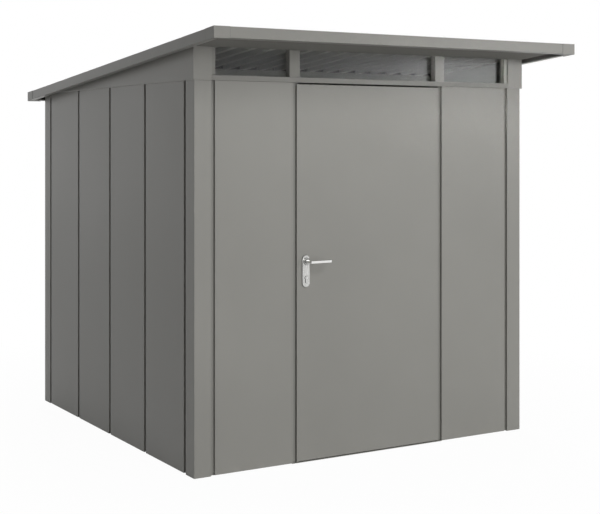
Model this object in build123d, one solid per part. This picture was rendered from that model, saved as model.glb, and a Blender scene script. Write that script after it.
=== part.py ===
from build123d import *
import math
import os

# A metal tool shed of folded sheet: cassette walls with shadow grooves, one door on hidden pivots,
# a glazed strip over the front and a single-pitch roof that is high at the front. Millimetres.
# +X runs to the right along the front, +Y to the back and +Z up; the ground is at zero.

# Folded sheet
sheet = 1.2
bend = 2.0
overrun = 60.0

# Walls
wall_width = 2000.0
wall_depth = 2000.0
wall_top = 1866.0
post_width = 90.0
panel_depth = 14.0
panel_gap = 20.0
panel_foot = 3.0
flange = 14.0
tongue_lap = 12.0
front_panel_width = 430.0
side_panel_count = 4
rear_panel_count = 4
rear_rail_height = 26.0
rear_rail_depth = 50.0

# Roof
roof_slope = 5.0
front_overhang = 338.0
rear_overhang = 98.0
side_overhang = 74.0
fascia_height = 52.0
fascia_lip = 33.0
fascia_return = 6.0
fascia_top = 40.0
soffit_depth = 9.0
deck_sink = 4.8
rib_pitch = 108.0
rib_height = 22.0
rib_valley = 28.0
rib_crest = 60.0
deck_clearance = 3.0
deck_seat_gap = 0.2
corner_cap_leg = 80.0
corner_cap_height = 54.0
purlin_height = 43.0
purlin_width = 45.0
front_purlin_place = 725.0
rear_purlin_place = 1310.0

# Gables, lintel and glazed strip
gable_height = 157.0
gable_proud = 8.0
gable_flange = 28.0
cap_return = 12.0
lintel_height = 26.0
lintel_depth = 50.0
mullion_width = 60.0
glazing_strip_width = 22.0
glass_setback = 34.0
glass_thickness = 4.0

# Base
rail_sheet = 2.0
rail_height = 45.0
rail_width = 40.0
threshold_thickness = 3.0
threshold_setback = 1.0

# Door
door_gap = 24.0
door_foot = 8.0
door_head_gap = 8.0
door_depth = 36.0
door_rim_depth = 9.0
door_body_inset = 28.0
door_flange = 18.0
jamb_clearance = 10.0
jamb_stop = 20.0
jamb_depth = 46.0
latch_overlap = 12.0
pivot_inset = 10.0
pivot_diameter = 5.0
pivot_play = 0.25
pivot_reach = 16.0
pivot_collar_diameter = 7.0
pivot_collar_gap = 0.3

# Handle
plate_width = 42.0
plate_height = 158.0
plate_thickness = 8.0
plate_edge = 2.0
plate_inset = 29.0
plate_rise = 31.0
collar_diameter = 30.0
collar_height = 4.0
lever_height = 988.0
lever_diameter = 17.0
lever_length = 112.0
lever_stand_off = 52.0
lever_tip = 2.5
lever_play = 0.3
spindle_side = 8.0
spindle_hole_diameter = 22.0
lock_distance = 81.0
cylinder_diameter = 17.0
cylinder_body_width = 10.0
cylinder_body_height = 33.0
cylinder_proud = 3.0
cylinder_play = 0.3
cylinder_hole_play = 3.0

# Places that follow from the sizes
fall = math.tan(math.radians(roof_slope))
deck_drop = deck_sink + rib_height + sheet
soffit_drop = deck_drop + soffit_depth
roof_height = wall_top + gable_height + soffit_drop + fall * front_overhang
roof_half_width = wall_width / 2 + side_overhang
roof_half_depth = (wall_depth + front_overhang + rear_overhang) / 2
wall_middle = (front_overhang - rear_overhang) / 2
front_face = wall_middle - wall_depth / 2
rear_face = wall_middle + wall_depth / 2
side_panel_width = (wall_depth - 2 * post_width - panel_gap) / side_panel_count - panel_gap
rear_panel_width = (wall_width - 2 * post_width - panel_gap) / rear_panel_count - panel_gap
post_edge = wall_width / 2 - post_width
door_half_zone = post_edge - panel_gap - front_panel_width
door_half_width = door_half_zone - door_gap
door_head = wall_top - door_head_gap
inner_depth = panel_depth + sheet
glass_face = front_face + glass_setback
glass_back = glass_face + glass_thickness
lintel_top = wall_top + lintel_height
cap_face = front_face - gable_proud
plate_middle = lever_height + plate_rise - plate_height / 2
cylinder_height = lever_height - lock_distance
gable_face = wall_width / 2 + gable_proud


def roof_z(y):
    """Height of the roof's rim plane at a place along Y."""
    return roof_height - fall * (y + roof_half_depth)


rear_rail_foot = roof_z(rear_face) - deck_drop - rear_rail_height


def fold(corners, rounded=(), thickness=sheet):
    """Section of a folded sheet to the left of a line through corners, some of its bends rounded."""
    line = Wire(Polyline(*corners).edges())
    outline = line.offset_2d(thickness, kind=Kind.INTERSECTION, side=Side.LEFT, closed=True)
    section = make_face(outline.edges())
    bends = [section.vertices().sort_by_distance(corners[i])[0] for i in rounded]
    return fillet(bends, bend) if bends else section


def polygon(corners):
    return make_face(Polyline(*corners, close=True).edges())


def along_x(section, low, high):
    """Extrudes a section drawn in (y, z) from one place on X to another."""
    return extrude(Plane.YZ.offset(low) * section, amount=high - low)


def along_y(section, low, high, drop=0.0):
    """Extrudes a section drawn in (x, z) towards the back, falling by the given slope."""
    length = high - low
    faces = (Plane.XZ.offset(-low) * section).faces()
    return Part(children=[Solid.extrude(face, Vector(0, length, -drop * length)) for face in faces])


def upright(section, low, high):
    """Extrudes a plan section from one height to another."""
    return extrude(Plane.XY.offset(low) * section, amount=high - low)


def box(x, y, z):
    """A box between pairs of places on each axis."""
    return Pos(x[0], y[0], z[0]) * Box(
        x[1] - x[0], y[1] - y[0], z[1] - z[0], align=(Align.MIN, Align.MIN, Align.MIN)
    )


def roof_layer(top, bottom, x_half, y_low, y_high):
    """A slab that follows the roof's fall between two drops below the rim plane."""
    corners = [
        (y_low, roof_z(y_low) - bottom),
        (y_high, roof_z(y_high) - bottom),
        (y_high, roof_z(y_high) - top),
        (y_low, roof_z(y_low) - top),
    ]
    return along_x(polygon(corners), -x_half, x_half)


def under_roof(drop):
    """Everything that lies lower than the given drop below the rim plane."""
    reach = roof_half_depth + overrun
    return roof_layer(drop, roof_height + overrun, roof_half_width + overrun, -reach, reach)


def wall_place(turn):
    """Puts a wall's own frame, along and inward, on the given side, counted from the front."""
    distance = wall_width / 2 if turn % 2 else wall_depth / 2
    return Pos(0, wall_middle, 0) * Rot(0, 0, 90 * turn) * Pos(0, -distance, 0)


def panel(width, top, tongue=True):
    """A wall cassette: a flange under its left edge, and at the right a tongue that floors the groove."""
    half = width / 2
    last = (half + panel_gap + tongue_lap, panel_depth) if tongue else (half - flange, panel_depth)
    corners = [
        (-half + flange, panel_depth),
        (-half, panel_depth),
        (-half, 0),
        (half, 0),
        (half, panel_depth),
        last,
    ]
    return upright(fold(corners, (2, 3)), panel_foot, top)


def wall_panels(turn, length, count, width, top):
    """The row of panels on one wall, from its left end as seen from outside."""
    first = -length / 2 + post_width + panel_gap + width / 2
    pitch = width + panel_gap
    return [wall_place(turn) * Pos(first + i * pitch, 0, 0) * panel(width, top) for i in range(count)]


def corner_post(turn):
    """A folded post at the left end of a wall, with the same flange and tongue as a panel."""
    corners = [
        (panel_depth, post_width - flange),
        (panel_depth, post_width),
        (0, post_width),
        (0, 0),
        (post_width, 0),
        (post_width, panel_depth),
        (post_width + panel_gap + tongue_lap, panel_depth),
    ]
    length = wall_depth if turn % 2 else wall_width
    post = upright(fold(corners, (2, 3, 4)), 0, wall_top)
    return wall_place(turn) * Pos(-length / 2, 0, 0) * post


def mirrored(shape):
    return mirror(shape, about=Plane.YZ)


def walls():
    """Posts and panels; those at the back are cut to the roof's fall."""
    cut = under_roof(deck_drop)
    rail_depth = (rear_face - rear_rail_depth, rear_face + overrun)
    rail_room = box((-post_edge, post_edge), rail_depth, (rear_rail_foot, roof_height))
    names = ("front_left_post", "front_right_post", "rear_right_post", "rear_left_post")
    nodes = {}
    for turn, name in enumerate(names):
        nodes[name] = corner_post(turn)
    for name in ("rear_right_post", "rear_left_post"):
        nodes[name] = (nodes[name] & cut) - rail_room
    right = wall_panels(1, wall_depth, side_panel_count, side_panel_width, wall_top)
    left = wall_panels(3, wall_depth, side_panel_count, side_panel_width, wall_top)
    rear = wall_panels(2, wall_width, rear_panel_count, rear_panel_width, rear_rail_foot)
    for i, shape in enumerate(right):
        nodes[f"right_panel_{i + 1}"] = shape & cut
    for i, shape in enumerate(reversed(left)):
        nodes[f"left_panel_{i + 1}"] = shape & cut
    for i, shape in enumerate(rear):
        nodes[f"rear_panel_{i + 1}"] = shape
    front = door_half_zone + front_panel_width / 2
    nodes["front_left_panel"] = Pos(-front, front_face, 0) * panel(front_panel_width, wall_top, tongue=False)
    nodes["front_right_panel"] = Pos(front, front_face, 0) * panel(front_panel_width, wall_top)
    return nodes


def rear_top_rail():
    """A folded channel on the rear panels that carries the roof deck."""
    inside = rear_face - rear_rail_depth
    corners = [
        (inside, rear_rail_foot),
        (rear_face, rear_rail_foot),
        (rear_face, roof_z(rear_face) - deck_drop),
        (inside, roof_z(inside) - deck_drop),
    ]
    return along_x(fold(corners), -post_edge, post_edge)


def left_gable():
    """The wedge over a side wall: a sheet with a flange that lies on the panels' tops."""
    tip = (roof_height - deck_drop - wall_top - 2 * sheet) / fall - roof_half_depth
    corners = [
        (-gable_face, roof_height),
        (-gable_face, wall_top),
        (-gable_face + gable_flange, wall_top),
    ]
    return along_y(fold(corners, (1,)), cap_face + sheet, tip) & under_roof(deck_drop)


def left_front_cap():
    """The gable's return on the front, over the corner post, with a flange that closes it from below."""
    corners = [
        (-gable_face, cap_face),
        (-post_edge, cap_face),
        (-post_edge, front_face + cap_return),
    ]
    upper = upright(fold(corners, (1,)), wall_top, roof_height)
    foot = box(
        (-gable_face + gable_flange, -post_edge - sheet),
        (cap_face + sheet, front_face + cap_return),
        (wall_top, wall_top + sheet),
    )
    return (upper + foot) & under_roof(deck_drop)


def front_lintel():
    """The tube over door and panels that carries the glazing."""
    low, high = cap_face, front_face + lintel_depth
    outer = box((-post_edge, post_edge), (low, high), (wall_top, lintel_top))
    edges = outer.edges().filter_by(Axis.X)
    outer = fillet(edges, bend)
    inner = box((-post_edge, post_edge), (low + sheet, high - sheet), (wall_top + sheet, lintel_top - sheet))
    return outer - inner


def glazing_channel(width, middle):
    """An upright channel in front of the glass, open towards it, from the lintel to the roof deck."""
    corners = [
        (-width / 2, glass_face),
        (-width / 2, front_face),
        (width / 2, front_face),
        (width / 2, glass_face),
    ]
    channel = upright(Pos(middle, 0) * fold(corners, (1, 2)), lintel_top, roof_height)
    return channel & under_roof(deck_drop)


def clerestory_glass():
    pane = box((-post_edge, post_edge), (glass_face, glass_back), (lintel_top, roof_height))
    return pane & under_roof(deck_drop)


def front_soffit():
    """The sheet under the front overhang, turned up to the deck behind the fascia and before the glazing."""
    front, back = -roof_half_depth + sheet, cap_face
    places = [(front, deck_drop), (front, soffit_drop), (back, soffit_drop), (back, deck_drop)]
    corners = [(y, roof_z(y) - drop) for y, drop in places]
    return along_x(fold(corners), sheet - gable_face, gable_face - sheet)


def roof_deck():
    """Trapezoidal sheet with its ribs from front to back."""
    edge = roof_half_width - sheet - deck_clearance
    web_run = (rib_pitch - rib_valley - rib_crest) / 2
    rib_count = int((2 * edge - rib_crest) / rib_pitch)
    corners = [(-edge, rib_height)]
    for i in range(rib_count):
        middle = (i - (rib_count - 1) / 2) * rib_pitch
        corners += [
            (middle - rib_valley / 2 - web_run, rib_height),
            (middle - rib_valley / 2, 0),
            (middle + rib_valley / 2, 0),
            (middle + rib_valley / 2 + web_run, rib_height),
        ]
    corners += [(edge, rib_height)]
    low = -roof_half_depth + sheet + deck_clearance
    return along_y(Pos(0, roof_z(low) - deck_drop) * fold(corners), low, -low, fall)


def fascia_corners():
    """The edge trim as (inward, height) from its upper outer corner."""
    return [
        (fascia_top, deck_seat_gap - deck_sink),
        (fascia_top, 0),
        (0, 0),
        (0, -fascia_height),
        (fascia_lip, -fascia_height),
        (fascia_lip, fascia_return - fascia_height),
    ]


def mitre(half_length, edge, inward):
    """A plan wedge that cuts both ends of an edge trim at 45 degrees."""
    reach = fascia_top + overrun
    return [
        (-half_length, edge),
        (half_length, edge),
        (half_length - reach, edge + inward * reach),
        (-half_length + reach, edge + inward * reach),
    ]


def cross_fascia(edge, inward):
    """Front or rear edge trim."""
    places = [(edge + inward * s, h) for s, h in fascia_corners()]
    corners = [(y, roof_z(y) + h) for y, h in places]
    if inward < 0:
        corners.reverse()
    trim = along_x(fold(corners, (2, 3)), -roof_half_width, roof_half_width)
    return trim & upright(polygon(mitre(roof_half_width, edge, inward)), 0, roof_height + overrun)


def left_fascia():
    """Left edge trim, drawn square to the roof's fall behind the rear edge and drawn out to the front."""
    slope = math.radians(roof_slope)
    corners = [(-roof_half_width + s, h * math.cos(slope)) for s, h in fascia_corners()]
    back = roof_half_depth + overrun
    uphill = (0, -math.cos(slope), math.sin(slope))
    square = Plane((0, back, roof_z(back)), x_dir=(1, 0, 0), z_dir=uphill)
    trim = extrude(square * fold(corners, (2, 3)), amount=2 * back / math.cos(slope))
    plan = [(y, x) for x, y in mitre(roof_half_depth, -roof_half_width, 1)]
    return trim & upright(polygon(plan), 0, roof_height + overrun)


def corner_caps():
    """Four folded caps over the mitred corners of the edge trim."""
    x, y = roof_half_width + sheet, roof_half_depth + sheet
    corners = [
        (-x, -y),
        (-x + sheet + corner_cap_leg, -y),
        (-x + sheet + corner_cap_leg, -y + sheet),
        (-x + sheet, -y + sheet),
        (-x + sheet, -y + sheet + corner_cap_leg),
        (-x, -y + sheet + corner_cap_leg),
    ]
    front_left = upright(polygon(corners), 0, roof_height + overrun)
    front = front_left + mirrored(front_left)
    rear = mirror(front, about=Plane.XZ)
    layer = roof_layer(0, corner_cap_height, x + overrun, -y - overrun, y + overrun)
    return Part(children=[cap & layer for cap in front.solids() + rear.solids()])


def purlin(place):
    """A channel under the deck from gable to gable, open to the back."""
    front = front_face + place
    back = front + purlin_width
    corners = [
        (back, roof_z(back) - deck_drop),
        (front, roof_z(front) - deck_drop),
        (front, roof_z(front) - deck_drop - purlin_height),
        (back, roof_z(back) - deck_drop - purlin_height),
    ]
    return along_x(fold(corners), -gable_face + sheet, gable_face - sheet)


def rail_section():
    """The base angle as (inward, height): an upright leg behind the panels and a leg on the ground."""
    corners = [(inner_depth, rail_height), (inner_depth, 0), (inner_depth + rail_width, 0)]
    return fold(corners, thickness=rail_sheet)


def base():
    """Base angles inside the walls, and the threshold between those at the front."""
    along_front = wall_width / 2 - inner_depth - rail_width
    along_side = wall_depth / 2 - inner_depth
    doorway = door_half_zone + sheet
    cross = along_x(rail_section(), -along_front, along_front)
    side = along_x(rail_section(), -along_side, along_side)
    short = along_x(rail_section(), -along_front, -doorway)
    threshold = box(
        (-doorway, doorway),
        (front_face + threshold_setback, front_face + inner_depth + rail_width),
        (0, threshold_thickness),
    )
    return {
        "front_base_rails": Part(children=[Pos(0, front_face, 0) * s for s in (short, mirrored(short))]),
        "right_base_rail": wall_place(1) * side,
        "rear_base_rail": wall_place(2) * cross,
        "left_base_rail": wall_place(3) * side,
        "door_threshold": threshold,
    }


def jamb(corners):
    return Pos(0, front_face, 0) * upright(fold(corners), threshold_thickness, wall_top)


def latch_jamb():
    """The jamb at the left: it floors the groove, runs on behind the leaf's rim and turns in there."""
    edge = -door_half_width + latch_overlap
    corners = [
        (-door_half_zone - flange, panel_depth),
        (edge, panel_depth),
        (edge, jamb_depth),
    ]
    return jamb(corners)


def hinge_jamb():
    """The jamb at the right: a stop flange behind the leaf, a step clear of the turning rim, a groove floor."""
    step = door_half_width + jamb_clearance
    corners = [
        (door_half_width - jamb_stop, jamb_depth),
        (step, jamb_depth),
        (step, panel_depth),
        (door_half_zone + flange, panel_depth),
    ]
    return jamb(corners)


def pivot_axis():
    return door_half_width - pivot_inset, front_face + door_rim_depth / 2


def lower_pivot():
    """A pin with a collar that carries the leaf."""
    x, y = pivot_axis()
    seat = door_foot - pivot_collar_gap
    collar = Pos(x, y, threshold_thickness) * Cylinder(
        pivot_collar_diameter / 2, seat - threshold_thickness, align=(Align.CENTER, Align.CENTER, Align.MIN)
    )
    pin = Pos(x, y, seat) * Cylinder(
        pivot_diameter / 2, pivot_reach, align=(Align.CENTER, Align.CENTER, Align.MIN)
    )
    return collar + pin


def upper_pivot():
    x, y = pivot_axis()
    return Pos(x, y, door_head - pivot_reach) * Cylinder(
        pivot_diameter / 2, pivot_reach + door_head_gap, align=(Align.CENTER, Align.CENTER, Align.MIN)
    )


def across_leaf(section, low, high):
    """Extrudes a section drawn in (x, z) between two depths from the door's face."""
    return along_y(section, front_face + low, front_face + high)


def lever_axis():
    return -door_half_width + plate_inset + plate_width / 2, lever_height


def cylinder_section(play):
    """The lock cylinder's keyhole-shaped outline, widened by a play."""
    x = lever_axis()[0]
    round_part = Pos(x, cylinder_height) * Circle(cylinder_diameter / 2 + play)
    drop = cylinder_body_height - cylinder_diameter / 2
    body = Pos(x, cylinder_height - drop / 2) * Rectangle(cylinder_body_width + 2 * play, drop + 2 * play)
    return round_part + body


def leaf_box(inset, y):
    """A box inside the leaf's outline by the same inset on four sides, between two places on Y."""
    half = door_half_width - inset
    return box((-half, half), y, (door_foot + inset, door_head - inset))


def door_leaf():
    """The leaf: a rim that laps the latch jamb, and a narrower body with flanges for the lining."""
    front, rim, back = front_face, front_face + door_rim_depth, front_face + door_depth
    shell = leaf_box(0, (front, rim))
    front_edges = shell.edges().filter_by(Axis.Z).sort_by(Axis.Y)[:2]
    shell = fillet(front_edges, bend) + leaf_box(door_body_inset, (rim, back))
    shell -= leaf_box(sheet, (front + sheet, rim - sheet))
    shell -= leaf_box(door_body_inset + sheet, (rim - sheet, back - sheet))
    shell -= leaf_box(door_body_inset + door_flange, (back - sheet, back))
    hole = upright(Pos(*pivot_axis()) * Circle(pivot_diameter / 2 + pivot_play), 0, roof_height)
    lock = across_leaf(Pos(*lever_axis()) * Circle(spindle_hole_diameter / 2), 0, door_depth)
    keyway = across_leaf(cylinder_section(cylinder_hole_play), 0, door_depth)
    return shell - hole - lock - keyway


def door_lining():
    """The sheet that closes the back of the leaf's body."""
    lining = leaf_box(door_body_inset, (front_face + door_depth, front_face + door_depth + sheet))
    lock = across_leaf(Pos(*lever_axis()) * Circle(spindle_hole_diameter / 2), 0, door_depth + overrun)
    keyway = across_leaf(cylinder_section(cylinder_hole_play), 0, door_depth + overrun)
    return lining - lock - keyway


def handle_plate():
    """The outer plate with round ends and a bevelled rim, and a collar around the lever's neck."""
    x, z = lever_axis()
    outline = Pos(x, plate_middle) * SlotOverall(plate_height, plate_width, rotation=90)
    plate = across_leaf(outline, -plate_thickness, 0)
    rim = plate.faces().sort_by(Axis.Y)[0].edges()
    plate = chamfer(rim, plate_edge)
    front = -plate_thickness - collar_height
    plate += across_leaf(Pos(x, z) * Circle(collar_diameter / 2), front, 0)
    bore = across_leaf(Pos(x, z) * Circle(lever_diameter / 2 + lever_play), front, 0)
    keyhole = across_leaf(cylinder_section(cylinder_play), front, 0)
    return plate - bore - keyhole


def lever(root, out):
    """A round lever: a neck through its plate, mitred to a straight grip with a bevelled tip."""
    x, z = lever_axis()
    start = front_face + root
    knee = start + out
    path = Polyline((x, start, z), (x, knee, z), (x + lever_length, knee, z))
    section = Plane((x, start, z), z_dir=(0, out, 0)) * Circle(lever_diameter / 2)
    bar = sweep(section, path=path, transition=Transition.RIGHT)
    tip = bar.faces().sort_by(Axis.X)[-1].edges()
    return chamfer(tip, lever_tip)


def handle():
    """Plates, lock cylinder and the two levers on one spindle."""
    x, z = lever_axis()
    back = door_depth + sheet
    plate = handle_plate()
    spindle = across_leaf(Pos(x, z) * Rectangle(spindle_side, spindle_side), 0, back)
    lock = across_leaf(
        cylinder_section(0), -plate_thickness - cylinder_proud, back + plate_thickness + cylinder_proud
    )
    return {
        "outer_handle_plate": plate,
        "inner_handle_plate": mirror(plate, about=Plane.XZ.offset(-front_face - back / 2)),
        "lock_cylinder": lock,
        "outer_lever": lever(0, -lever_stand_off - plate_thickness) + spindle,
        "inner_lever": lever(back, lever_stand_off + plate_thickness),
    }


def build():
    nodes = walls()
    nodes.update(base())
    gable, cap, fascia = left_gable(), left_front_cap(), left_fascia()
    mullion = glazing_channel(mullion_width, -door_half_zone + door_gap / 2)
    strip = glazing_channel(glazing_strip_width, -post_edge + glazing_strip_width / 2)
    purlins = [purlin(front_purlin_place), purlin(rear_purlin_place)]
    nodes.update(
        {
            "front_lintel": front_lintel(),
            "rear_top_rail": rear_top_rail(),
            "left_gable": gable,
            "right_gable": mirrored(gable),
            "left_front_cap": cap,
            "right_front_cap": mirrored(cap),
            "glazing_mullions": Part(children=[mullion, mirrored(mullion)]),
            "glazing_side_strips": Part(children=[strip, mirrored(strip)]),
            "clerestory_glass": clerestory_glass(),
            "front_soffit": front_soffit(),
            "roof_deck": roof_deck(),
            "front_fascia": cross_fascia(-roof_half_depth, 1),
            "rear_fascia": cross_fascia(roof_half_depth, -1),
            "left_fascia": fascia,
            "right_fascia": mirrored(fascia),
            "roof_corner_caps": corner_caps(),
            "roof_purlins": Part(children=purlins),
            "left_door_jamb": latch_jamb(),
            "right_door_jamb": hinge_jamb(),
            "lower_pivot": lower_pivot(),
            "upper_pivot": upper_pivot(),
            "door_leaf": door_leaf(),
            "door_lining": door_lining(),
        }
    )
    nodes.update(handle())
    return nodes


os.makedirs("parts", exist_ok=True)
for name, shape in build().items():
    export_step(shape, f"parts/{name}.step")
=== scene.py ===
import math

import bmesh
import bpy
from mathutils import Matrix, Vector


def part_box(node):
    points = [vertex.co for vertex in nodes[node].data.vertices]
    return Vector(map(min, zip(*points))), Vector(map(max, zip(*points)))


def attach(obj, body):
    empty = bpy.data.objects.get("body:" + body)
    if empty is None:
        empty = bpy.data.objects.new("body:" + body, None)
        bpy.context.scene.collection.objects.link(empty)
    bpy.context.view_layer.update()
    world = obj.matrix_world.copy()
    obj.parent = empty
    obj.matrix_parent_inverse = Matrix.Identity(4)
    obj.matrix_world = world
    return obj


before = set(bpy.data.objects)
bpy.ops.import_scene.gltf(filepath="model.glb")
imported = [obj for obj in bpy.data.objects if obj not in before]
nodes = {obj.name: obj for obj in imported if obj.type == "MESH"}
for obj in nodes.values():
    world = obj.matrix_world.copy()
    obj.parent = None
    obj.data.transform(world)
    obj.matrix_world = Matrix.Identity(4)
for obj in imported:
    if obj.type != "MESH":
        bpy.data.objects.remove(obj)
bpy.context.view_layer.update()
scene = bpy.context.scene
print("frame loaded:", len(nodes), "nodes")


# small helpers for node trees

noiseRange = (0.3, 0.7)  # where most values of a noise lie


def feed(tree, socket, value):
    if isinstance(value, bpy.types.NodeSocket):
        tree.links.new(value, socket)
    else:
        socket.default_value = value


def addNode(tree, kind, inputs=None, **settings):
    node = tree.nodes.new(kind)
    for name, value in settings.items():
        setattr(node, name, value)
    for key, value in (inputs or {}).items():
        feed(tree, node.inputs[key], value)
    return node


def addInput(tree, label, kind, value):
    socket = tree.interface.new_socket(label, in_out="INPUT", socket_type=kind)
    if value is not None:
        socket.default_value = value


def makeGroup(name, inputs, outputs):
    group = bpy.data.node_groups.new(name, "ShaderNodeTree")
    for label, kind, value in inputs:
        addInput(group, label, kind, value)
    for label in outputs:
        group.interface.new_socket(label, in_out="OUTPUT", socket_type="NodeSocketFloat")
    return group, addNode(group, "NodeGroupInput").outputs, addNode(group, "NodeGroupOutput")


def spread(tree, value, low, high, fromLow=0.0, fromHigh=1.0):
    node = addNode(tree, "ShaderNodeMapRange", {0: value, 1: fromLow, 2: fromHigh, 3: low, 4: high})
    return node.outputs[0]


def calc(tree, how, a, b):
    return addNode(tree, "ShaderNodeMath", {0: a, 1: b}, operation=how).outputs[0]


def mixColours(tree, share, first, second):
    node = addNode(tree, "ShaderNodeMix", {0: share, 6: first, 7: second}, data_type="RGBA")
    return node.outputs[2]


def noise(tree, place, scale, detail=2.0, roughness=0.5):
    inputs = {"Vector": place, "Scale": scale, "Detail": detail, "Roughness": roughness}
    return addNode(tree, "ShaderNodeTexNoise", inputs).outputs[0]


# shared surface effects

grainLook = {"peelDetail": 1.0, "driftDetail": 3.0, "fineShare": 0.35, "sheenShare": 0.5}


def coatGrainGroup():
    group, given, out = makeGroup(
        "coatGrain",
        [("Place", "NodeSocketVector", None), ("Grain Scale", "NodeSocketFloat", None),
         ("Peel Scale", "NodeSocketFloat", None), ("Drift Scale", "NodeSocketFloat", None)],
        ["Height", "Drift", "Sheen"])
    grain = noise(group, given["Place"], given["Grain Scale"])
    peel = noise(group, given["Place"], given["Peel Scale"], grainLook["peelDetail"])
    drift = noise(group, given["Place"], given["Drift Scale"], grainLook["driftDetail"])
    fine = calc(group, "MULTIPLY", grain, grainLook["fineShare"])
    both = calc(group, "ADD", grain, drift)
    feed(group, out.inputs["Height"], calc(group, "ADD", fine, peel))
    feed(group, out.inputs["Drift"], drift)
    feed(group, out.inputs["Sheen"], calc(group, "MULTIPLY", both, grainLook["sheenShare"]))
    return group


dustLook = {"reach": 0.22, "breakScale": 14.0, "detail": 5.0, "roughness": 0.65, "range": (0.3, 0.75)}


def footDustGroup():
    group, given, out = makeGroup(
        "footDust",
        [("Place", "NodeSocketVector", None), ("Reach", "NodeSocketFloat", dustLook["reach"]),
         ("Break Scale", "NodeSocketFloat", dustLook["breakScale"])],
        ["Mask"])
    height = addNode(group, "ShaderNodeSeparateXYZ", {0: given["Place"]}).outputs["Z"]
    fade = spread(group, height, 1.0, 0.0, 0.0, given["Reach"])  # full at the ground
    patches = noise(group, given["Place"], given["Break Scale"], dustLook["detail"], dustLook["roughness"])
    broken = spread(group, patches, 0.0, 1.0, *dustLook["range"])
    squared = calc(group, "MULTIPLY", fade, fade)
    feed(group, out.inputs["Mask"], calc(group, "MULTIPLY", squared, broken))
    return group


brushLook = {"detail": 3.0, "roughness": 0.6, "cloudScale": 30.0, "lineShare": 0.7, "cloudShare": 0.3}


def brushLinesGroup():
    group, given, out = makeGroup(
        "brushLines",
        [("Place", "NodeSocketVector", None), ("Line Scale", "NodeSocketFloat", None)],
        ["Height", "Tone"])
    lines = noise(group, given["Place"], given["Line Scale"], brushLook["detail"], brushLook["roughness"])
    cloud = noise(group, given["Place"], brushLook["cloudScale"])
    fine = calc(group, "MULTIPLY", lines, brushLook["lineShare"])
    broad = calc(group, "MULTIPLY", cloud, brushLook["cloudShare"])
    feed(group, out.inputs["Height"], lines)
    feed(group, out.inputs["Tone"], calc(group, "ADD", fine, broad))
    return group


# ambient occlusion darkens the base colour: painted shade in hollows
paintedShadeLook = {"reach": 0.03, "rays": 8, "range": (0.45, 0.92)}


def paintedShadeGroup():
    group, given, out = makeGroup("paintedShade", [("Reach", "NodeSocketFloat", paintedShadeLook["reach"])], ["Tone"])
    inputs = {"Distance": given["Reach"]}
    opened = addNode(group, "ShaderNodeAmbientOcclusion", inputs, samples=paintedShadeLook["rays"]).outputs["AO"]
    feed(group, out.inputs["Tone"], spread(group, opened, 0.0, 1.0, *paintedShadeLook["range"]))
    return group


spangleLook = {"flakeScale": 90.0, "warpScale": 60.0, "warpShare": 0.02, "pitScale": 400.0}


def zincSpangleGroup():
    group, given, out = makeGroup(
        "zincSpangle",
        [("Place", "NodeSocketVector", None), ("Flake Scale", "NodeSocketFloat", spangleLook["flakeScale"])],
        ["Tone", "Height"])
    warp = addNode(group, "ShaderNodeTexNoise", {"Vector": given["Place"], "Scale": spangleLook["warpScale"]})
    ends = {0: spangleLook["warpShare"], 4: given["Place"], 5: warp.outputs["Color"]}
    shifted = addNode(group, "ShaderNodeMix", ends, data_type="VECTOR").outputs[1]
    flakes = addNode(group, "ShaderNodeTexVoronoi", {"Vector": shifted, "Scale": given["Flake Scale"]})
    split = addNode(group, "ShaderNodeSeparateColor", {0: flakes.outputs["Color"]})
    feed(group, out.inputs["Tone"], split.outputs[0])
    feed(group, out.inputs["Height"], noise(group, given["Place"], spangleLook["pitScale"]))
    return group


coatGrain = coatGrainGroup()
footDust = footDustGroup()
brushLines = brushLinesGroup()
paintedShade = paintedShadeGroup()
zincSpangle = zincSpangleGroup()


# materials

def startMaterial(name):
    material = bpy.data.materials.new(name)
    material.use_nodes = True
    tree = material.node_tree
    shader = tree.nodes["Principled BSDF"]
    place = addNode(tree, "ShaderNodeTexCoord").outputs["Object"]
    return material, tree, shader, place


def useGroup(tree, group, inputs=None):
    return addNode(tree, "ShaderNodeGroup", inputs, node_tree=group).outputs


def addBump(tree, shader, height, values):
    inputs = {"Strength": values["bump"], "Distance": values["bumpDepth"], "Height": height}
    feed(tree, shader.inputs["Normal"], addNode(tree, "ShaderNodeBump", inputs).outputs[0])


sheetCoat = {
    "dark": (0.217, 0.2135, 0.197, 1), "light": (0.235, 0.2313, 0.2135, 1),  # warm mid grey
    "dust": (0.33, 0.32, 0.29, 1), "dustShare": 0.10,
    "smooth": 0.36, "rough": 0.46,
    "grainScale": 900.0, "peelScale": 170.0, "driftScale": 1.2,
    "bump": 0.12, "bumpDepth": 0.0004, "specular": 0.3,
}
barCoat = dict(sheetCoat, smooth=0.18, rough=0.24, bump=0.05, specular=0.12)  # smoother, on the glazing bars
shadedTrimCoat = dict(
    sheetCoat, dark=(0.180, 0.177, 0.1635, 1), light=(0.195, 0.192, 0.177, 1))  # the walls' paint set darker on edge trim: painted shade
shadedMatteCoat = dict(shadedTrimCoat, smooth=0.7, rough=0.8, specular=0.0)  # under the roof, with the trim's darker paint: painted shade
deckCoat = dict(
    sheetCoat, smooth=0.6, rough=0.7, specular=0.1,
    backing=(0.42, 0.41, 0.39, 1), backTilt=-0.1)  # dull above, pale on faces that look down


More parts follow.
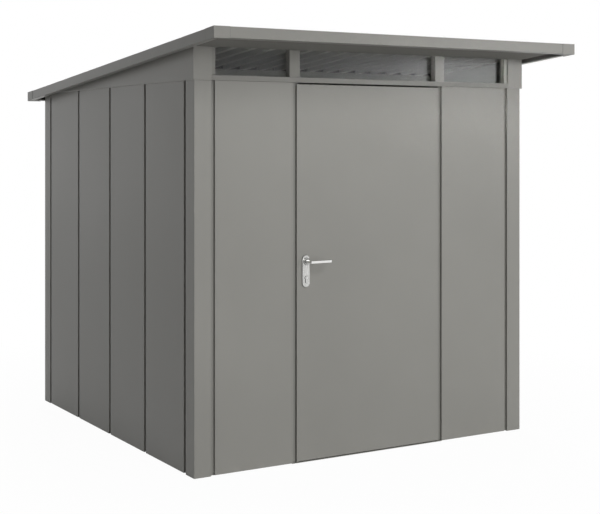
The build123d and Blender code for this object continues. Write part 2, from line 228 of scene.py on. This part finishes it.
def coatedSheet(name, values):
    material, tree, shader, place = startMaterial(name)
    grain = useGroup(tree, coatGrain, {
        "Place": place, "Grain Scale": values["grainScale"],
        "Peel Scale": values["peelScale"], "Drift Scale": values["driftScale"]})
    dust = useGroup(tree, footDust, {"Place": place})
    drift = spread(tree, grain["Drift"], 0.0, 1.0, *noiseRange)
    paint = mixColours(tree, drift, values["dark"], values["light"])
    dustShare = calc(tree, "MULTIPLY", dust["Mask"], values["dustShare"])
    feed(tree, shader.inputs["Base Color"], mixColours(tree, dustShare, paint, values["dust"]))
    gloss = spread(tree, grain["Sheen"], values["smooth"], values["rough"], *noiseRange)
    feed(tree, shader.inputs["Roughness"], calc(tree, "ADD", gloss, dustShare))
    shader.inputs["Specular IOR Level"].default_value = values["specular"]
    addBump(tree, shader, grain["Height"], values)
    return material


def backedSheet(name, values):
    material = coatedSheet(name, values)
    tree = material.node_tree
    base = tree.nodes["Principled BSDF"].inputs["Base Color"]
    normal = addNode(tree, "ShaderNodeNewGeometry").outputs["True Normal"]
    tilt = addNode(tree, "ShaderNodeSeparateXYZ", {0: normal}).outputs["Z"]
    below = calc(tree, "LESS_THAN", tilt, values["backTilt"])
    feed(tree, base, mixColours(tree, below, base.links[0].from_socket, values["backing"]))
    return material


handleSteel = {
    "dark": (0.42, 0.42, 0.41, 1), "light": (0.62, 0.62, 0.60, 1), "smooth": 0.16, "rough": 0.30,
    "lineScale": 900.0, "bump": 0.05, "bumpDepth": 0.0002,
    "hollowShade": (0.02, 0.02, 0.02, 1),  # painted shade in hollows, darkest where plate and lever meet
}
gripSteel = dict(
    handleSteel, dark=(0.68, 0.68, 0.67, 1), light=(0.84, 0.84, 0.82, 1),
    smooth=0.08, rough=0.16)  # polished by hands
pinSteel = dict(handleSteel, dark=(0.10, 0.10, 0.10, 1), light=(0.16, 0.16, 0.15, 1))
linesAlong, linesUp = (0.04, 1.0, 1.0), (1.0, 1.0, 0.04)  # which way the brushing runs


def brushedSteel(name, values, stretch):
    material, tree, shader, place = startMaterial(name)
    turned = addNode(tree, "ShaderNodeMapping", {"Vector": place, "Scale": stretch}).outputs[0]
    lines = useGroup(tree, brushLines, {"Place": turned, "Line Scale": values["lineScale"]})
    tone = spread(tree, lines["Tone"], 0.0, 1.0, *noiseRange)
    steel = mixColours(tree, tone, values["dark"], values["light"])
    # the steel darkened in its hollows: painted shade
    hollowShade = useGroup(tree, paintedShade)
    feed(tree, shader.inputs["Base Color"], mixColours(tree, hollowShade["Tone"], values["hollowShade"], steel))
    gloss = spread(tree, lines["Height"], values["smooth"], values["rough"], *noiseRange)
    feed(tree, shader.inputs["Roughness"], gloss)
    shader.inputs["Metallic"].default_value = 1.0
    addBump(tree, shader, lines["Height"], values)
    return material


zincSheet = {
    "dark": (0.36, 0.37, 0.37, 1), "light": (0.50, 0.51, 0.51, 1), "smooth": 0.34, "rough": 0.52,
    "metallic": 0.9, "bump": 0.08, "bumpDepth": 0.0003,
}


def galvanised(name, values):
    material, tree, shader, place = startMaterial(name)
    flakes = useGroup(tree, zincSpangle, {"Place": place})
    feed(tree, shader.inputs["Base Color"], mixColours(tree, flakes["Tone"], values["dark"], values["light"]))
    feed(tree, shader.inputs["Roughness"], spread(tree, flakes["Tone"], values["rough"], values["smooth"]))
    shader.inputs["Metallic"].default_value = values["metallic"]
    addBump(tree, shader, flakes["Height"], values)
    return material


paneGlass = {
    "tint": (0.90, 0.92, 0.91, 1), "smooth": 0.02, "rough": 0.06, "ior": 1.05,
    "smearScale": 6.0, "smearDetail": 4.0, "smearRoughness": 0.6, "smearRange": (0.35, 0.7),
    "satin": 1.0, "satinRough": 0.28, "satinIor": 1.27,  # a clear pane with a satin face
}


def clearPane(name, values):
    material, tree, shader, place = startMaterial(name)
    smear = noise(tree, place, values["smearScale"], values["smearDetail"], values["smearRoughness"])
    gloss = spread(tree, smear, values["smooth"], values["rough"], *values["smearRange"])
    feed(tree, shader.inputs["Roughness"], gloss)
    shader.inputs["Base Color"].default_value = values["tint"]
    shader.inputs["IOR"].default_value = values["ior"]
    shader.inputs["Transmission Weight"].default_value = 1.0
    shader.inputs["Coat Weight"].default_value = values["satin"]
    shader.inputs["Coat Roughness"].default_value = values["satinRough"]
    shader.inputs["Coat IOR"].default_value = values["satinIor"]
    return material


# near-black rubber, also the key slots' painted shade
rubberAndSlotShadeLook = {
    "dark": (0.010, 0.010, 0.010, 1), "light": (0.024, 0.024, 0.023, 1), "smooth": 0.55, "rough": 0.78,
    "skinScale": 700.0, "skinDetail": 3.0, "bloomScale": 25.0, "bloomDetail": 4.0,
    "bump": 0.2, "bumpDepth": 0.0003,
}
# dark beads for the corner caps' seam shadow lines: painted shade
seamShadeLook = dict(rubberAndSlotShadeLook, dark=(0.09, 0.09, 0.085, 1), light=(0.13, 0.13, 0.122, 1))


def softSeal(name, values):
    material, tree, shader, place = startMaterial(name)
    skin = noise(tree, place, values["skinScale"], values["skinDetail"])
    bloom = noise(tree, place, values["bloomScale"], values["bloomDetail"])
    feed(tree, shader.inputs["Base Color"], mixColours(tree, bloom, values["dark"], values["light"]))
    feed(tree, shader.inputs["Roughness"], spread(tree, bloom, values["smooth"], values["rough"]))
    addBump(tree, shader, skin, values)
    return material


greyCoat = coatedSheet("greyCoat", sheetCoat)
glazingCoat = coatedSheet("glazingCoat", barCoat)
shadedRoofTrim = coatedSheet("shadedRoofTrim", shadedTrimCoat)
shadedUnderCoat = coatedSheet("shadedUnderCoat", shadedMatteCoat)
deckSheet = backedSheet("deckSheet", deckCoat)
leverSteel = brushedSteel("leverSteel", gripSteel, linesAlong)
plateSteel = brushedSteel("plateSteel", handleSteel, linesUp)
darkPin = brushedSteel("darkPin", pinSteel, linesUp)
zinc = galvanised("zinc", zincSheet)
glass = clearPane("glass", paneGlass)
rubberAndSlotShade = softSeal("rubberAndSlotShade", rubberAndSlotShadeLook)
seamShade = softSeal("seamShade", seamShadeLook)


def dress(names, material):
    for name in names:
        slots = nodes[name].data.materials
        slots.clear()
        slots.append(material)


dress(nodes, greyCoat)
dress(["glazing_mullions", "glazing_side_strips"], glazingCoat)
# fascia, corner caps and lintel wear the darker copy of the walls' paint: painted shade
dress([name for name in nodes if name.endswith("_fascia")] + ["roof_corner_caps", "front_lintel"], shadedRoofTrim)
# soffit and purlins wear the darker copy of the walls' paint: painted shade
dress(["front_soffit", "roof_purlins"], shadedUnderCoat)
dress(["roof_deck"], deckSheet)
dress(["outer_lever", "inner_lever"], leverSteel)
dress(["lower_pivot", "upper_pivot"], darkPin)
dress(["outer_handle_plate", "inner_handle_plate", "lock_cylinder"], plateSteel)
dress(["clerestory_glass"], glass)
print("materials set on", len(nodes), "nodes")


# geometry nodes

def makeTree(name, inputs):
    tree = bpy.data.node_groups.new(name, "GeometryNodeTree")
    addInput(tree, "Geometry", "NodeSocketGeometry", None)
    for label, kind, value in inputs:
        addInput(tree, label, kind, value)
    addInput(tree, "Material", "NodeSocketMaterial", None)
    tree.interface.new_socket("Geometry", in_out="OUTPUT", socket_type="NodeSocketGeometry")
    return tree, addNode(tree, "NodeGroupInput").outputs, addNode(tree, "NodeGroupOutput")


def namedValue(tree, name, kind):
    return addNode(tree, "GeometryNodeInputNamedAttribute", {"Name": name}, data_type=kind).outputs[0]


def standOnPoints(tree, given, shape, scale=(1.0, 1.0, 1.0)):
    points = addNode(tree, "GeometryNodeMeshToPoints", {"Mesh": given["Geometry"]}).outputs[0]
    facing = namedValue(tree, "facing", "FLOAT_VECTOR")
    turn = addNode(tree, "FunctionNodeAlignRotationToVector", {"Vector": facing}, axis="Z").outputs[0]
    inputs = {"Points": points, "Instance": shape, "Rotation": turn, "Scale": scale}
    return addNode(tree, "GeometryNodeInstanceOnPoints", inputs).outputs[0]


def endTree(tree, given, out, shape):
    real = addNode(tree, "GeometryNodeRealizeInstances", {0: shape}).outputs[0]
    painted = addNode(tree, "GeometryNodeSetMaterial", {"Geometry": real, "Material": given["Material"]})
    feed(tree, out.inputs[0], painted.outputs[0])
    return tree


screwShape = {
    "washerRadius": 0.0075, "washerThickness": 0.0016, "washerSides": 16, "washerTaper": 0.86,
    "headRadius": 0.0046, "headHeight": 0.0045, "headSides": 6, "headTaper": 0.9,
}


def taperedDisc(tree, sides, radius, taper, height):
    top = calc(tree, "MULTIPLY", radius, taper)
    inputs = {"Vertices": sides, "Radius Bottom": radius, "Radius Top": top, "Depth": height}
    return addNode(tree, "GeometryNodeMeshCone", inputs).outputs[0]


def screwHeadTree():
    tree, given, out = makeTree("screwHeads", [
        ("Washer Radius", "NodeSocketFloat", screwShape["washerRadius"]),
        ("Washer Thickness", "NodeSocketFloat", screwShape["washerThickness"]),
        ("Head Radius", "NodeSocketFloat", screwShape["headRadius"]),
        ("Head Height", "NodeSocketFloat", screwShape["headHeight"])])
    thickness = given["Washer Thickness"]
    washer = taperedDisc(
        tree, screwShape["washerSides"], given["Washer Radius"], screwShape["washerTaper"], thickness)
    head = taperedDisc(
        tree, screwShape["headSides"], given["Head Radius"], screwShape["headTaper"], given["Head Height"])
    lift = addNode(tree, "ShaderNodeCombineXYZ", {2: thickness}).outputs[0]
    raised = addNode(tree, "GeometryNodeTransform", {"Geometry": head, "Translation": lift})
    joined = addNode(tree, "GeometryNodeJoinGeometry")
    tree.links.new(washer, joined.inputs[0])
    tree.links.new(raised.outputs[0], joined.inputs[0])
    placed = standOnPoints(tree, given, joined.outputs[0], namedValue(tree, "size", "FLOAT"))
    return endTree(tree, given, out, placed)


def beadTubeTree():
    tree, given, out = makeTree("beadTube", [
        ("Sides", "NodeSocketInt", 10), ("Bead Radius", "NodeSocketFloat", None)])
    path = addNode(tree, "GeometryNodeMeshToCurve", {0: given["Geometry"]}).outputs[0]
    plain = addNode(tree, "GeometryNodeSetCurveRadius", {"Curve": path, "Radius": 1.0}).outputs[0]
    circle = {"Resolution": given["Sides"], "Radius": given["Bead Radius"]}
    ring = addNode(tree, "GeometryNodeCurvePrimitiveCircle", circle).outputs[0]
    inputs = {"Curve": plain, "Profile Curve": ring, "Fill Caps": True}
    return endTree(tree, given, out, addNode(tree, "GeometryNodeCurveToMesh", inputs).outputs[0])


def ribFillerTree():
    tree, given, out = makeTree("ribFiller", [("Filler Size", "NodeSocketVector", None)])
    block = addNode(tree, "GeometryNodeMeshCube", {"Size": given["Filler Size"]}).outputs[0]
    return endTree(tree, given, out, standOnPoints(tree, given, block))


def grow(name, points, edges, attributes, tree, inputs):
    mesh = bpy.data.meshes.new(name)
    mesh.from_pydata([tuple(p) for p in points], edges, [])
    for label, kind, field, values in attributes:
        layer = mesh.attributes.new(label, kind, "POINT")
        for item, value in zip(layer.data, values):
            setattr(item, field, value)
    piece = bpy.data.objects.new(name, mesh)
    scene.collection.objects.link(piece)
    modifier = piece.modifiers.new("grow", "NODES")
    modifier.node_group = tree
    for item in tree.interface.items_tree:
        if item.item_type == "SOCKET" and item.in_out == "INPUT" and item.name in inputs:
            modifier[item.identifier] = inputs[item.name]
    graph = bpy.context.evaluated_depsgraph_get()
    made = bpy.data.meshes.new_from_object(piece.evaluated_get(graph))
    piece.modifiers.clear()
    piece.data = made
    return piece


screwHeads = screwHeadTree()
beadTube = beadTubeTree()
ribFiller = ribFillerTree()


# screws: roof sheet, wall seams, ground angles and the inner handle plate

roofScrews = {
    "pitch": 0.108, "count": 19, "slope": math.radians(5), "valleyDrop": 0.0268, "size": 1.0,
    "edgeInset": 0.05, "behindGlass": 0.004, "railInset": 0.025,
}
seamScrews = {"panels": 4, "heights": (0.25, 0.65, 1.05, 1.45), "lap": 0.006, "size": 0.62}
groundBolts = {"spacing": 0.45, "thickness": 0.002, "size": 1.5}
plateScrews = {"heights": (0.947, 0.871), "thickness": 0.008, "size": 0.45}
purlinWidth = 0.045

capsLow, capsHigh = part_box("roof_corner_caps")
purlinLow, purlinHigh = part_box("roof_purlins")
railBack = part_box("rear_top_rail")[1].y
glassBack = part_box("clerestory_glass")[1].y
roofUp = Vector((0, math.sin(roofScrews["slope"]), math.cos(roofScrews["slope"])))


def rimHeight(y):
    return capsHigh.z - math.tan(roofScrews["slope"]) * (y - capsLow.y)


def roofScrewPlaces():
    rows = [
        capsLow.y + roofScrews["edgeInset"], glassBack + roofScrews["behindGlass"],
        purlinLow.y + purlinWidth / 2, purlinHigh.y - purlinWidth / 2, railBack - roofScrews["railInset"]]
    half = (roofScrews["count"] - 1) / 2
    places = []
    for y in rows:
        z = rimHeight(y) - roofScrews["valleyDrop"]
        for i in range(roofScrews["count"]):
            places.append((Vector(((i - half) * roofScrews["pitch"], y, z)), roofUp, roofScrews["size"]))
    return places


def seamScrewPlaces():
    places, lap = [], seamScrews["lap"]
    for i in range(1, seamScrews["panels"] + 1):
        rightLow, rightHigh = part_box(f"right_panel_{i}")
        leftLow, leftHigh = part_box(f"left_panel_{i}")
        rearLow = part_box(f"rear_panel_{i}")[0]
        for z in seamScrews["heights"]:
            places.append((Vector((rightLow.x, rightHigh.y - lap, z)), Vector((-1, 0, 0))))
            places.append((Vector((leftHigh.x, leftLow.y + lap, z)), Vector((1, 0, 0))))
            places.append((Vector((rearLow.x + lap, rearLow.y, z)), Vector((0, -1, 0))))
    return [(place, facing, seamScrews["size"]) for place, facing in places]


def groundBoltPlaces():
    up, places = Vector((0, 0, 1)), []
    for name in ("left_base_rail", "right_base_rail", "rear_base_rail"):
        low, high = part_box(name)
        axis = 1 if high.y - low.y > high.x - low.x else 0
        count = int((high[axis] - low[axis]) / groundBolts["spacing"])
        for i in range(count):
            place = (low + high) / 2
            place[axis] += (i - (count - 1) / 2) * groundBolts["spacing"]
            place.z = groundBolts["thickness"]
            places.append((place, up, groundBolts["size"]))
    return places


def plateScrewPlaces():
    low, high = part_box("inner_handle_plate")
    x = (low.x + high.x) / 2
    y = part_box("door_lining")[1].y + plateScrews["thickness"]  # the plate's flat, behind its collar
    return [(Vector((x, y, z)), Vector((0, 1, 0)), plateScrews["size"]) for z in plateScrews["heights"]]


def setScrews(name, places, body):
    spots, facings, sizes = zip(*places)
    attributes = [("facing", "FLOAT_VECTOR", "vector", facings), ("size", "FLOAT", "value", sizes)]
    piece = grow(name, spots, [], attributes, screwHeads, {"Material": zinc})
    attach(piece, body)
    print(name, len(places), "screws")


ribFillers = {"size": (0.06, 0.02, 0.0205), "drop": 0.017, "inset": 0.011}  # foam in the ribs over the purlins


def setFillers(name):
    half = roofScrews["count"] / 2 - 1
    rows = [front + ribFillers["inset"] for front in (purlinLow.y, purlinHigh.y - purlinWidth)]
    places = [Vector(((i - half) * roofScrews["pitch"], y, rimHeight(y) - ribFillers["drop"]))
              for y in rows for i in range(roofScrews["count"] - 1)]
    piece = grow(name, places, [], [("facing", "FLOAT_VECTOR", "vector", [roofUp] * len(places))],
                 ribFiller, {"Filler Size": ribFillers["size"], "Material": rubberAndSlotShade})
    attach(piece, "shed")
    print(name, len(places), "fillers")


setFillers("ribFillers")
setScrews("shedScrews", roofScrewPlaces() + seamScrewPlaces() + groundBoltPlaces(), "shed")
setScrews("plateScrews", plateScrewPlaces(), "door")


# rubber seals on the door jambs, and dark beads along the edges of the roof's corner caps that stand for the
# seams' shadow lines: painted shade

sheetThickness = 0.0012
doorSeal = {"radius": 0.003, "fromEdge": 0.004, "latchDepth": -0.85, "endGap": 0.01}
capSeamShade = {"radius": 0.001, "leg": 0.080, "drops": (0.001, 0.053)}  # from the rim almost to the cap's foot


def doorSealRuns():
    low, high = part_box("left_door_jamb")
    x, y = high.x + doorSeal["radius"], doorSeal["latchDepth"]
    ends = (low.z + doorSeal["endGap"], high.z - doorSeal["endGap"])
    runs = [[(x, y, z) for z in ends]]
    low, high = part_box("right_door_jamb")
    x, y = low.x + doorSeal["fromEdge"], high.y - sheetThickness - doorSeal["radius"]
    runs.append([(x, y, z) for z in ends])
    return runs


def capSeamShadeRuns():
    runs = []
    x, y = capsHigh.x - sheetThickness, capsHigh.y - sheetThickness
    back = capSeamShade["leg"] + capSeamShade["radius"]  # how far the bead lies from the corner
    for sideX in (-1, 1):
        for sideY in (-1, 1):
            for px, py in ((sideX * (x - back), sideY * y), (sideX * x, sideY * (y - back))):
                runs.append([(px, py, rimHeight(py) - drop) for drop in capSeamShade["drops"]])
    return runs


def setBeads(name, runs, radius, material):
    points = [place for run in runs for place in run]
    edges = [(2 * i, 2 * i + 1) for i in range(len(runs))]
    piece = grow(name, points, edges, [], beadTube, {"Bead Radius": radius, "Material": material})
    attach(piece, "shed")
    print(name, len(runs), "runs")


setBeads("doorSeals", doorSealRuns(), doorSeal["radius"], rubberAndSlotShade)
# the seams' shadow lines drawn as dark beads: painted shade
setBeads("capSeamShades", capSeamShadeRuns(), capSeamShade["radius"], seamShade)


# lock fittings

def roundedBlock(low, high, radius):
    shape = bmesh.new()
    bmesh.ops.create_cube(shape, size=1.0)
    size, middle = Vector(high) - Vector(low), (Vector(low) + Vector(high)) / 2
    place = Matrix.Translation(middle) @ Matrix.Diagonal((*size, 1))
    bmesh.ops.transform(shape, matrix=place, verts=shape.verts)
    bmesh.ops.bevel(shape, geom=shape.edges[:], offset=radius, segments=2, affect="EDGES", profile=0.5)
    return shape


def finishPiece(name, shapes, material, body):
    mesh = bpy.data.meshes.new(name)
    whole = bmesh.new()
    for shape in shapes:
        part = bpy.data.meshes.new("part")
        shape.to_mesh(part)
        whole.from_mesh(part)
        bpy.data.meshes.remove(part)
        shape.free()
    bmesh.ops.recalc_face_normals(whole, faces=whole.faces)
    whole.to_mesh(mesh)
    whole.free()
    mesh.materials.append(material)
    piece = bpy.data.objects.new(name, mesh)
    scene.collection.objects.link(piece)
    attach(piece, body)


lockPlate = {"proud": 0.001, "sunk": 0.0004, "round": 0.0003}
lockEdge = {"low": 0.84, "high": 1.05, "depth": (-0.862, -0.847)}
latchBolt = {"height": 0.99, "tall": 0.028, "proud": 0.009, "inset": 0.002, "round": 0.001}
strike = {"low": 0.93, "high": 1.03, "depth": (-0.857, -0.838)}


def lockFittings():
    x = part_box("door_lining")[0].x  # the side of the leaf's body
    y0, y1 = lockEdge["depth"]
    forend = roundedBlock(
        (x - lockPlate["proud"], y0, lockEdge["low"]), (x + lockPlate["sunk"], y1, lockEdge["high"]),
        lockPlate["round"])
    z, half = latchBolt["height"], latchBolt["tall"] / 2
    latch = roundedBlock(
        (x - latchBolt["proud"], y0 + latchBolt["inset"], z - half), (x, y1 - latchBolt["inset"], z + half),
        latchBolt["round"])
    finishPiece("lockEdge", [forend, latch], plateSteel, "door")
    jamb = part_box("left_door_jamb")[1].x  # the jamb's turn beside the leaf's body
    y0, y1 = strike["depth"]
    plate = roundedBlock(
        (jamb - lockPlate["sunk"], y0, strike["low"]), (jamb + lockPlate["proud"], y1, strike["high"]),
        lockPlate["round"])
    finishPiece("strikePlate", [plate], plateSteel, "shed")


keyhole = {
    "height": 0.907, "radius": 0.0062, "proud": 0.0006, "sides": 32, "rim": 0.0002,
    "slit": (0.0009, 0.0042), "slitDepth": 0.0001, "slitRound": 0.00005,
    "slitShares": (((-1, -1), (1, 1)), ((-2.2, -0.55), (-0.4, 0.15))),  # the slot and the ward beside it, drawn as flat near-black patches: painted shade
}


def keyPlug(face, outward):
    low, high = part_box("lock_cylinder")
    x, z = (low.x + high.x) / 2, keyhole["height"]
    plug, radius = bmesh.new(), keyhole["radius"]
    place = Matrix.Translation((x, face, z)) @ Matrix.Rotation(math.radians(90), 4, "X")
    bmesh.ops.create_cone(plug, cap_ends=True, segments=keyhole["sides"], radius1=radius, radius2=radius,
                          depth=keyhole["proud"] * 2, matrix=place)
    rims = [e for e in plug.edges if len(e.link_faces) == 2 and any(len(f.verts) > 4 for f in e.link_faces)]
    bmesh.ops.bevel(plug, geom=rims, offset=keyhole["rim"], segments=1, affect="EDGES")
    front, depth = face + outward * keyhole["proud"], keyhole["slitDepth"]
    wide, tall = keyhole["slit"]
    slits = [roundedBlock((x + wide * x0, front - depth, z + tall * z0),
                          (x + wide * x1, front + depth, z + tall * z1), keyhole["slitRound"])
             for (x0, z0), (x1, z1) in keyhole["slitShares"]]
    return plug, slits


def keyholes():
    low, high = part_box("lock_cylinder")
    outer, inner = keyPlug(low.y, -1), keyPlug(high.y, 1)
    finishPiece("keyPlugs", [outer[0], inner[0]], leverSteel, "door")
    # flat near-black patches where the key slot and ward open: painted shade
    finishPiece("keySlitShades", outer[1] + inner[1], rubberAndSlotShade, "door")


lockFittings()
keyholes()
print("lock fittings done")


# camera, floor and light

photoView = {
    "place": (-3.6031, -5.9934, 1.5855), "turn": -29.811,
    "sensor": 36.0, "lens": 73.59, "shift": (0.0752, -0.1953),
}


def setCamera():
    data = bpy.data.cameras.new("photoView")
    data.sensor_width, data.sensor_fit, data.lens = photoView["sensor"], "HORIZONTAL", photoView["lens"]
    data.shift_x, data.shift_y = photoView["shift"]
    camera = bpy.data.objects.new("photoView", data)
    camera.location = photoView["place"]
    camera.rotation_euler = (math.radians(90), 0, math.radians(photoView["turn"]))
    scene.collection.objects.link(camera)
    scene.camera = camera


studio = {
    "floorSize": 60.0, "floorGrey": (0.9, 0.9, 0.9, 1), "floorShade": 0.03, "shadeFade": (1.4, 3.2),
    "sky": 0.03,
    "beams": {"flankBox": 7.0},  # degrees, a narrow beam on the glazing bars' sides
    "lamps": {  # place, aim, width, height, watts
        "keyBox": ((-0.5, -12.0, 4.8), (0, -0.9, 1.0), 4.0, 3.0, 265.0),
        "highBox": ((0.5, -9.0, 7.5), (0, -0.9, 1.0), 4.0, 3.0, 370.0),
        "fillBox": ((-1.5, -14.0, 2.0), (0, -0.9, 1.0), 4.0, 3.0, 300.0),
        "rightBox": ((5.65, -6.8, 2.6), (0.5, -0.9, 1.6), 1.6, 1.6, 125.0),
        "sideBox": ((-8.0, -3.5, 0.8), (-1.0, 0.2, 0.6), 2.0, 1.4, 28.0),
        "leftBox": ((-4.0, 8.0, 2.0), (-1.0, 1.0, 1.0), 2.0, 3.0, 18.0),
        "flankBox": ((-7.5, -5.2, 1.75), (0.85, -0.87, 1.9), 0.4, 0.4, 0.6),
        "rearBox": ((3.0, 10.0, 4.0), (0, 1.0, 1.0), 5.0, 3.5, 650.0),
        "topBox": ((0.0, 0.5, 6.5), (0, 0, 0), 5.0, 5.0, 60.0),
    },
}


def whiteRays(tree):
    ray = addNode(tree, "ShaderNodeLightPath").outputs
    seen = calc(tree, "MAXIMUM", ray["Is Camera Ray"], ray["Is Glossy Ray"])
    return calc(tree, "MAXIMUM", seen, ray["Is Transmission Ray"])


def setFloor():
    half = studio["floorSize"] / 2
    corners = [(-half, -half, 0), (half, -half, 0), (half, half, 0), (-half, half, 0)]
    mesh = bpy.data.meshes.new("floor")
    mesh.from_pydata(corners, [], [(0, 1, 2, 3)])
    floor = bpy.data.objects.new("floor", mesh)
    scene.collection.objects.link(floor)
    material = bpy.data.materials.new("paleFloor")
    material.use_nodes = True
    tree = material.node_tree
    tree.nodes.remove(tree.nodes["Principled BSDF"])
    plain = addNode(tree, "ShaderNodeBsdfDiffuse", {"Color": studio["floorGrey"]}).outputs[0]
    white = addNode(tree, "ShaderNodeEmission", {"Strength": 1.0}).outputs[0]
    place = addNode(tree, "ShaderNodeTexCoord").outputs["Object"]
    distance = addNode(tree, "ShaderNodeVectorMath", {0: place}, operation="LENGTH").outputs["Value"]
    shade = spread(tree, distance, studio["floorShade"], 0.0, *studio["shadeFade"])
    shaded = addNode(tree, "ShaderNodeMixShader", {0: shade, 1: white, 2: plain}).outputs[0]
    both = addNode(tree, "ShaderNodeMixShader", {0: whiteRays(tree), 1: plain, 2: shaded}).outputs[0]
    feed(tree, tree.nodes["Material Output"].inputs["Surface"], both)
    mesh.materials.append(material)


def setSky():
    world = bpy.data.worlds.new("studioSky")
    world.use_nodes = True
    tree = world.node_tree
    ground = tree.nodes["Background"]
    ground.inputs["Color"].default_value = (1, 1, 1, 1)
    feed(tree, ground.inputs["Strength"], spread(tree, whiteRays(tree), studio["sky"], 1.0))
    scene.world = world


def setLamps():
    for name, (place, aim, width, height, watts) in studio["lamps"].items():
        data = bpy.data.lights.new(name, "AREA")
        data.shape, data.size, data.size_y, data.energy = "RECTANGLE", width, height, watts
        lamp = bpy.data.objects.new(name, data)
        if name in studio["beams"]:
            data.spread = math.radians(studio["beams"][name])
            lamp.visible_glossy = False  # no glare from a narrow beam
        lamp.location = place
        lamp.rotation_euler = (Vector(aim) - Vector(place)).to_track_quat("-Z", "Y").to_euler()
        scene.collection.objects.link(lamp)


setCamera()
setFloor()
setSky()
setLamps()
scene.view_settings.view_transform = "Standard"
print("camera, floor and light set")
